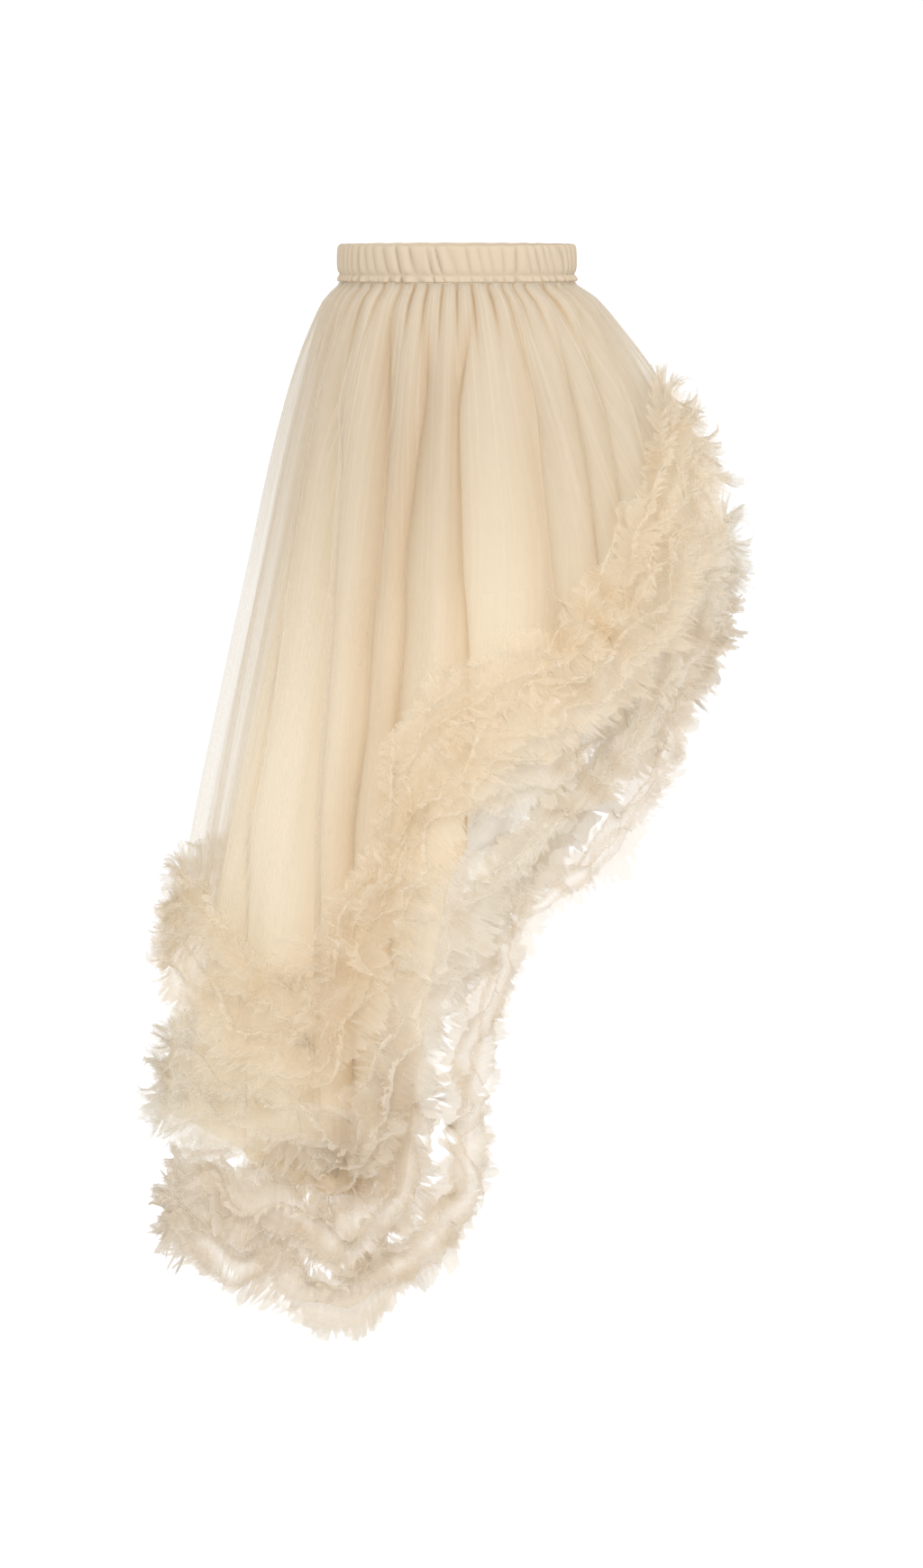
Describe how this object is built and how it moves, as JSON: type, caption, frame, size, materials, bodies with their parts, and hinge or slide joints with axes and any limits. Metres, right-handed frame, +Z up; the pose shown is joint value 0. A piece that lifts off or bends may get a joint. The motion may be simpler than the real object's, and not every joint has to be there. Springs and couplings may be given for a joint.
{
  "type": "skirt",
  "caption": "Gathered tulle skirt on an elastic waistband, with sheer layers cut short at one side and long at the other, each edged with rows of frill.",
  "frame": {"origin": "middle of the waist: the centre of the waistband's ring, halfway up the band", "axes": "+Z up, -Y towards the front of the skirt, +X towards its short side"},
  "size_m": [0.6554, 0.5668, 1.1393],
  "materials": {
    "waistband_cloth": "matt",
    "tulle": "sheer matt net",
    "lining_cloth": "soft satin",
    "frill_tulle": "sheer matt net"
  },
  "bodies": {
    "root": {"waistband": "waistband_cloth", "tulle_top": "tulle", "tulle_middle": "tulle", "tulle_long": "tulle", "lining": "lining_cloth", "frill_top_lower": "frill_tulle", "frill_top_upper": "frill_tulle", "frill_middle_lower": "frill_tulle", "frill_middle_upper_back": "frill_tulle", "frill_middle_upper_front": "frill_tulle", "frill_long_lower": "frill_tulle", "frill_long_centre": "frill_tulle", "frill_long_upper": "frill_tulle"}
  },
  "joints": []
}
